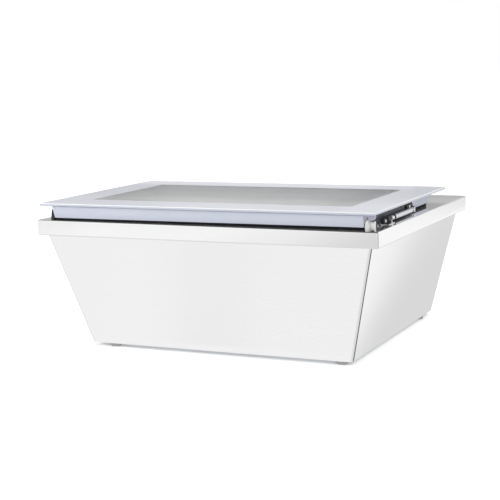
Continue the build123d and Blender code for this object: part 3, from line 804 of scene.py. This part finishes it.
def wall_cards():
    """Wall behind the freezer: the pane's border and window mirror its left part, the deck its right part."""
    far_left, split, far_right = -6.0, -0.68, 1.4
    foot, step, top = 0.02, 0.7065, 2.0
    y = 3.4
    border_levels = ((0.656, 0.76), (0.674, 0.86), (0.688, 0.92), (0.697, 0.86), (step, 0.78))
    border_ends = ((-2.1, 0.06), (-1.6, 0.0), (-1.0, 0.0), (-0.8, 0.22))
    window_levels = (
        (step, 0.45), (0.734, 0.47), (0.768, 0.63), (0.779, 0.72), (0.79, 0.81), (0.803, 0.78),
    )
    left_slope, right_slope = (-0.5, 0.0, 2.0), (1.0, 0.0, 2.86)
    left_dim = ((2.4, 0.04), (2.5, 0.05), (2.62, 0.08), (2.68, 0.14), (2.73, 0.20), (2.78, 0.27))
    right_dim = (
        (0.6, 0.0), (0.8, 0.03), (0.95, 0.04), (1.1, 0.08), (1.2, 0.15), (1.26, 0.16), (1.27, 0.0),
    )
    deck_levels = (
        (0.656, 0.44), (0.674, 0.495), (0.691, 0.545), (0.696, 0.37), (0.734, 0.385), (0.80, 0.64),
    )
    border = wall(far_left, split, foot, step, y)
    window = wall(far_left, split, step, top, y)
    deck = wall(split, far_right, foot, top, y)
    return [
        ("border_card", border, (TO_TOP, border_levels), (TO_RIGHT, border_ends)),
        ("window_card", window, (TO_TOP, window_levels), (left_slope, left_dim), (right_slope, right_dim)),
        ("deck_card", deck, (TO_TOP, deck_levels)),
    ]


def floor_cards(studio):
    """Patches of the floor that the casing's panels and the rim mirror."""
    z = 0.002
    side = [(0.42, -0.25, z), (0.96, 2.2, z), (0.0, 2.2, z), (0.0, -0.25, z)]
    side_slope = Vector((-4.6, 1.0, 0.0))
    side_levels = (
        (-1.94, 1.0), (-1.87, 0.985), (-1.82, 0.935), (-1.77, 0.89), (-1.70, 0.815), (-1.64, 0.78),
        (-1.58, 0.75), (-1.50, 0.735),
    )
    mirror = Matrix.Diagonal((-1.0, 1.0, 1.0))
    left = [mirror @ Vector(corner) for corner in side]
    rim = flat(0.985, 1.5, 1.4, 3.3, z)
    rim_levels = ((1.8, 1.0), (2.2, 0.945), (2.8, 0.82))
    front = flat(-1.9, 1.4, -3.2, -1.5, z)
    front_levels = (
        (-1.62, 0.90), (-1.34, 0.97), (-0.85, 0.97), (-0.52, 0.88), (-0.25, 0.70), (0.2, 0.67),
    )
    panel = flat(-0.75, 0.5, -0.8, -0.28, z)
    panel_slope = (1.0, -0.4, 0.0)
    panel_levels = (
        (-0.24, 0.99), (-0.18, 1.0), (-0.10, 1.0), (-0.017, 0.985), (0.024, 0.96), (0.065, 0.95),
        (0.119, 0.95), (0.146, 0.96), (0.186, 0.975), (0.22, 0.985), (0.41, 0.985),
    )
    corner = [(1.6, -1.3, z), (3.0, -1.3, z), (2.6, 1.38, z), (1.35, 1.38, z)]
    return [
        ("side_card", side, (side_slope, side_levels)),
        ("left_card", left, (mirror @ side_slope, side_levels)),
        ("rim_card", rim, (TO_REAR, rim_levels)),
        ("front_card", front, (TO_RIGHT, front_levels)),
        ("panel_card", panel, (panel_slope, panel_levels)),
        ("corner_card", corner, even(studio.corner_grey)),
    ]


def far_cards(studio):
    """The dark right front of the room, and its ceiling."""
    x, front, back, foot, top = 3.0, -3.4, 0.6, 0.02, 2.4
    dark = [(x, front, foot), (x, back, foot), (x, back, top), (x, front, top)]
    reach, height = 6.0, 4.0
    ceiling = flat(-reach, reach, -reach, reach, height)
    return [
        ("dark_card", dark, even(studio.dark_grey)),
        ("top_card", ceiling, even(studio.top_grey)),
    ]


def stage_card(scene, name, corners, material):
    """Adds one flat piece of the room."""
    mesh = bpy.data.meshes.new(name)
    mesh.from_pydata(corners, [], [(0, 1, 2, 3)])
    mesh.materials.append(material)
    card = bpy.data.objects.new(name, mesh)
    scene.collection.objects.link(card)
    return card


def build_world(scene, studio):
    """Even light from all round, which the camera, metal and glass see as white."""
    world = bpy.data.worlds.new("Studio")
    scene.world = world
    world.use_nodes = True
    graph = Graph(world.node_tree)
    fill = graph.node("ShaderNodeBackground", {}, {"Color": WHITE, "Strength": studio.fill})
    white = graph.node("ShaderNodeBackground", {}, {"Color": WHITE, "Strength": 1.0})
    seen = graph.rays("Camera", "Glossy", "Transmission")
    both = graph.node("ShaderNodeMixShader", {}, {0: seen, 1: fill, 2: white})
    graph.node("ShaderNodeOutputWorld", {}, {"Surface": both})


def build_floor(scene, studio):
    """Pale floor: white in mirrors, and to the camera white with the shadow under the freezer."""
    finish = Finish("Pale floor")
    paint = finish.node("ShaderNodeBsdfDiffuse", {}, {"Color": flat_grey(studio.floor_grey)})
    bright = finish.node("ShaderNodeBsdfDiffuse", {}, {"Color": flat_grey(studio.floor_gain)})
    glow = finish.node("ShaderNodeEmission", {}, {"Color": WHITE, "Strength": studio.floor_glow})
    white = finish.node("ShaderNodeEmission", {}, {"Color": WHITE, "Strength": 1.0})
    shown = finish.node("ShaderNodeAddShader", {}, {0: bright, 1: glow})
    straight = finish.node("ShaderNodeMixShader", {}, {0: finish.rays("Camera"), 1: paint, 2: shown})
    mirrored = finish.rays("Glossy", "Transmission")
    whole = finish.node("ShaderNodeMixShader", {}, {0: mirrored, 1: straight, 2: white})
    reach = studio.floor_reach
    floor = stage_card(scene, "floor", flat(-reach, reach, -reach, reach, 0.0), finish.done(whole))
    floor.visible_shadow = False


def build_cards(scene, studio):
    """Soft grey parts of the room that only mirrors show, graded along one direction or more."""
    for name, corners, grade, *dims in wall_cards() + floor_cards(studio) + far_cards(studio):
        finish = Finish(name.replace("_", " "))
        tone = finish.graded(*grade)
        for dim in dims:
            tone = tone - finish.graded(*dim)
        light = finish.node("ShaderNodeEmission", {}, {"Color": tone, "Strength": 1.0})
        card = stage_card(scene, name, corners, finish.done(light))
        card.visible_camera = False
        card.visible_diffuse = False
        card.visible_transmission = False
        card.visible_shadow = False


def build_lamps(scene, studio):
    """A soft box at the left front and a wide sun from above."""
    box = bpy.data.lights.new("key", "AREA")
    box.energy = studio.key_power
    box.size = studio.key_size
    sun = bpy.data.lights.new("top", "SUN")
    sun.energy = studio.sun_level
    sun.angle = studio.sun_spread
    for light, stand in ((box, studio.key_place), (sun, studio.sun_place)):
        lamp = bpy.data.objects.new(light.name, light)
        lamp.location = stand
        away = lamp.location - studio.lit_point
        lamp.rotation_euler = away.to_track_quat("Z", "Y").to_euler()
        lamp.visible_glossy = False
        scene.collection.objects.link(lamp)


def build_camera(scene, studio):
    """Camera at the photograph's viewing angle."""
    data = bpy.data.cameras.new("Camera")
    data.lens = studio.lens
    data.sensor_width = studio.sensor
    camera = bpy.data.objects.new("Camera", data)
    yaw, pitch, roll = studio.yaw, studio.pitch, studio.roll
    ahead = Vector((-math.sin(yaw), math.cos(yaw), 0.0))
    forward = math.cos(pitch) * ahead - Vector((0.0, 0.0, math.sin(pitch)))
    level = Vector((math.cos(yaw), math.sin(yaw), 0.0))
    down = forward.cross(level)
    right = math.cos(roll) * level + math.sin(roll) * down
    up = math.sin(roll) * level - math.cos(roll) * down
    axes = Matrix((right, up, -forward)).transposed().to_4x4()
    camera.matrix_world = Matrix.Translation(studio.camera_place) @ axes
    scene.collection.objects.link(camera)
    scene.camera = camera


# Operators


class FREEZER_OT_casing(bpy.types.Operator):
    """Finish the panels, the rim, the base pan, the corner strips and the feet"""

    bl_idname = "freezer.casing"
    bl_label = "Casing"

    def execute(self, context):
        colours = context.scene.freezer_colours
        front = satin_steel("Front steel", colours.panel, GRAIN_ACROSS, edges=[front_bends_painted_shade])
        rear = satin_steel("Panel steel across", colours.panel, GRAIN_ACROSS)
        # Painted light: the side panels are a lighter copy of the panel steel
        sides = satin_steel("Panel steel along", shade(colours.panel, 1.03), GRAIN_ALONG, 0.16)
        rim = satin_steel("Rim steel", colours.deck, GRAIN_ACROSS, 0.03, 0.85, [rim_hem_painted_shade, rim_lip_painted_reflection])
        dress(front, "front_panel")
        dress(rear, "rear_panel")
        dress(sides, "left_panel", "right_panel")
        dress(rim, "top_deck")
        dress(zinc_sheet("Zinc sheet", colours.zinc), "base_pan")
        # The corner strips are rubber and also stand for the shadow in the corner gaps: partly real seal,
        # partly painted shade
        dress(seal_rubber("Corner rubber", shade(colours.rubber, 2.4)), "corner_seals")
        feet = [corner + "_foot" for corner in ("front_left", "front_right", "rear_left", "rear_right")]
        # Painted shade: the feet are a darker copy of the bright steel, standing for their dark reflections
        dress(bright_metal("Foot steel", shade(colours.bright, 0.45), 0.14), *feet)
        return {"FINISHED"}


class FREEZER_OT_cold_space(bpy.types.Operator):
    """Finish the tub, its collar, the evaporator and the foam"""

    bl_idname = "freezer.cold_space"
    bl_label = "Cold space"

    def execute(self, context):
        colours = context.scene.freezer_colours
        dress(satin_steel("Tub steel", shade(colours.deck, 0.96), GRAIN_ROUND, 0.34), "inner_tub")
        dress(moulded("Collar plastic", colours.white, 0.42, 500.0), "tub_collar")
        dress(drawn_copper("Evaporator copper", colours.copper), "evaporator_coil")
        dress(rigid_foam("Rigid foam", colours.foam), "foam_insulation")
        return {"FINISHED"}


class FREEZER_OT_cooling_unit(bpy.types.Operator):
    """Finish the compressor, the condenser, the fan and the pipes"""

    bl_idname = "freezer.cooling_unit"
    bl_label = "Cooling unit"

    def execute(self, context):
        colours = context.scene.freezer_colours
        dress(black_enamel("Compressor enamel", colours.paint), "compressor", "fan_motor")
        dress(seal_rubber("Mount rubber", colours.rubber), "compressor_mounts")
        dress(moulded("Unit plastic", colours.black, 0.45, 420.0), "relay_box", "fan_frame")
        dress(bright_metal("Fin aluminium", colours.aluminium, 0.26), "condenser_fins", "fan_rotor")
        pipes = ("condenser_tube", "discharge_pipe", "suction_pipe", "liquid_pipe", "filter_drier")
        dress(drawn_copper("Pipe copper", colours.copper), *pipes)
        return {"FINISHED"}


class FREEZER_OT_controls(bpy.types.Operator):
    """Finish the controls and print the marks round the knob"""

    bl_idname = "freezer.controls"
    bl_label = "Controls"

    def execute(self, context):
        colours, sizes = context.scene.freezer_colours, context.scene.freezer_sizes
        fine = moulded("Control plastic", colours.black, 0.38, 600.0)
        dress(fine, "control_box", "thermostat", "switch_bezel", "power_inlet")
        dress(moulded("Rocker plastic", shade(colours.black, 1.6), 0.28, 300.0, 0.3), "rocker_switch")
        ink = moulded("Dial ink", colours.black, 0.5, 800.0)
        middle = (KNOB_LOW + KNOB_HIGH) / 2
        face = Vector((middle.x, KNOB_HIGH.y, middle.z))
        dress(knob_plastic("Knob plastic", colours.black, colours.white, face), "thermostat_knob")
        values = {
            "Radius": sizes.dial_radius,
            "Marks": sizes.dial_marks,
            "Mark Length": sizes.mark_length,
            "Mark Width": sizes.mark_width,
            "Mark Height": sizes.mark_height,
        }
        ring_middle = (middle.x, REAR_HIGH.y, middle.z)
        marks = grown_mesh("dial_marks", [ring_middle], dial_tree(ink), values)
        add_piece("dial_marks", marks, "cabinet")
        return {"FINISHED"}


class FREEZER_OT_lid(bpy.types.Operator):
    """Finish the lid's frame, seal, inner pane and hinge"""

    bl_idname = "freezer.lid"
    bl_label = "Lid"

    def execute(self, context):
        colours = context.scene.freezer_colours
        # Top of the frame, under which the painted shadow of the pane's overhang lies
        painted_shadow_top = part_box("lid_frame")[1].z
        dress(moulded("Frame plastic", colours.lilac, 0.34, 380.0, 0.15, painted_shadow_top), "lid_frame")
        # Painted shade: the lug's dark tone stands for the shade under the pane
        dress(moulded("Lug plastic", colours.lug, 0.38, 380.0), "lid_rest_lug")
        dress(seal_rubber("Lid rubber", colours.rubber), "lid_gasket")
        dress(clear_glass("Inner glass", colours), "lid_inner_glass")
        dress(moulded("Block plastic", colours.white, 0.36, 420.0), "right_hinge_block")
        dress(moulded("Hinge plastic", colours.black, 0.55, 420.0), "left_hinge_block", "right_hinge_bracket")
        # Painted shade: the pins are a darker copy of the bright steel, for the shade round them
        dress(bright_metal("Pin steel", shade(colours.bright, 0.45)), "left_hinge_pin", "right_hinge_pin")
        dress(black_enamel("Plate enamel", colours.slate), "lid_side_plate")
        return {"FINISHED"}


class FREEZER_OT_pane(bpy.types.Operator):
    """Build the top pane with its window, printed border and ground edge"""

    bl_idname = "freezer.pane"
    bl_label = "Printed pane"

    def execute(self, context):
        colours = context.scene.freezer_colours
        mesh = pane_mesh(context.scene.freezer_sizes)
        materials = {
            WINDOW: clear_glass("Window glass", colours),
            PRINT: printed_glass("Border print", colours.print_tone),
            # Painted highlight: the upper arris is a lighter copy of the print tone
            ARRIS: ground_edge("Pane arris", shade(colours.print_tone, 1.35)),
            EDGE: ground_edge("Pane edge", colours.edge),
            # Painted shade: the under edge is a dark copy of the edge tone, for the shadow line under the
            # pane
            UNDER_SHADE: ground_edge("Pane under edge", shade(colours.edge, 0.25)),
        }
        for slot in sorted(materials):
            mesh.materials.append(materials[slot])
        add_piece("lid_pane", mesh, "lid", ["lid_glass"])
        return {"FINISHED"}


class FREEZER_OT_stay(bpy.types.Operator):
    """Finish the lid stay"""

    bl_idname = "freezer.stay"
    bl_label = "Lid stay"

    def execute(self, context):
        colours = context.scene.freezer_colours
        dress(bright_metal("Stay tube steel", shade(colours.bright, 1.1), 0.18), "stay_tube")
        dress(bright_metal("Stay steel", colours.bright, 0.14), "stay_rod", "stay_foot_pin", "stay_stud")
        dress(bright_metal("Bracket steel", colours.bright, 0.26), "stay_foot_bracket")
        dress(seal_rubber("Wiper rubber", colours.rubber), "stay_wiper")
        dress(moulded("Clip plastic", colours.black, 0.5, 420.0), "stay_end_clip")
        dress(moulded("Boot plastic", shade(colours.black, 2.0), 0.5, 420.0), "stay_boot")
        return {"FINISHED"}


class FREEZER_OT_screws(bpy.types.Operator):
    """Put cross-recess screws in the rear panel and the lid's side plate"""

    bl_idname = "freezer.screws"
    bl_label = "Screws"

    def execute(self, context):
        sizes = context.scene.freezer_sizes
        colours = context.scene.freezer_colours
        bright = screw_tree(bright_metal("Screw steel", colours.bright, 0.22))
        dark = screw_tree(black_enamel("Screw enamel", colours.paint))
        rear = {"Head Radius": sizes.rear_screw, "Head Height": sizes.rear_screw_rise, "Axis": TO_REAR}
        plate = {"Head Radius": sizes.plate_screw, "Head Height": sizes.plate_screw_rise, "Axis": TO_RIGHT}
        self.put("rear_screws", "rear_panel_screws", "cabinet", REAR_HIGH, bright, rear)
        self.put("plate_screws", "side_plate_screws", "lid", PLATE_HIGH, dark, plate)
        return {"FINISHED"}

    @staticmethod
    def put(name, node, body, seat, tree, values):
        """Puts a head over each solid of a node, on the face that holds the seat."""
        axis = values["Axis"]
        points = [middle + axis * axis.dot(seat - middle) for middle in screw_middles(node)]
        mesh = grown_mesh(name, points, tree, values)
        add_piece(name, mesh, body, [node])


class FREEZER_OT_stage(bpy.types.Operator):
    """Build the floor, the light and the camera"""

    bl_idname = "freezer.stage"
    bl_label = "Stage"

    def execute(self, context):
        scene, studio = context.scene, context.scene.freezer_studio
        scene.view_settings.view_transform = "Standard"
        build_world(scene, studio)
        build_floor(scene, studio)
        build_cards(scene, studio)
        build_lamps(scene, studio)
        build_camera(scene, studio)
        return {"FINISHED"}


class FREEZER_PT_panel(bpy.types.Panel):
    """Lists the steps that dress the freezer"""

    bl_label = "Display freezer"
    bl_idname = "FREEZER_PT_panel"
    bl_space_type = "VIEW_3D"
    bl_region_type = "UI"
    bl_category = "Freezer"

    def draw(self, context):
        for step in STEPS:
            self.layout.operator(step.bl_idname)


STEPS = (
    FREEZER_OT_casing,
    FREEZER_OT_cold_space,
    FREEZER_OT_cooling_unit,
    FREEZER_OT_controls,
    FREEZER_OT_lid,
    FREEZER_OT_pane,
    FREEZER_OT_stay,
    FREEZER_OT_screws,
    FREEZER_OT_stage,
)
GROUPS = {
    "freezer_sizes": FreezerSizes,
    "freezer_colours": FreezerColours,
    "freezer_studio": FreezerStudio,
}


def register():
    for cls in (*GROUPS.values(), *STEPS, FREEZER_PT_panel):
        bpy.utils.register_class(cls)
    for name, group in GROUPS.items():
        setattr(bpy.types.Scene, name, bpy.props.PointerProperty(type=group))


def unregister():
    for name in GROUPS:
        delattr(bpy.types.Scene, name)
    for cls in reversed((*GROUPS.values(), *STEPS, FREEZER_PT_panel)):
        bpy.utils.unregister_class(cls)


def main():
    register()
    bpy.ops.freezer.casing()
    bpy.ops.freezer.cold_space()
    bpy.ops.freezer.cooling_unit()
    bpy.ops.freezer.controls()
    bpy.ops.freezer.lid()
    bpy.ops.freezer.pane()
    bpy.ops.freezer.stay()
    bpy.ops.freezer.screws()
    bpy.ops.freezer.stage()


if __name__ == "__main__":
    main()
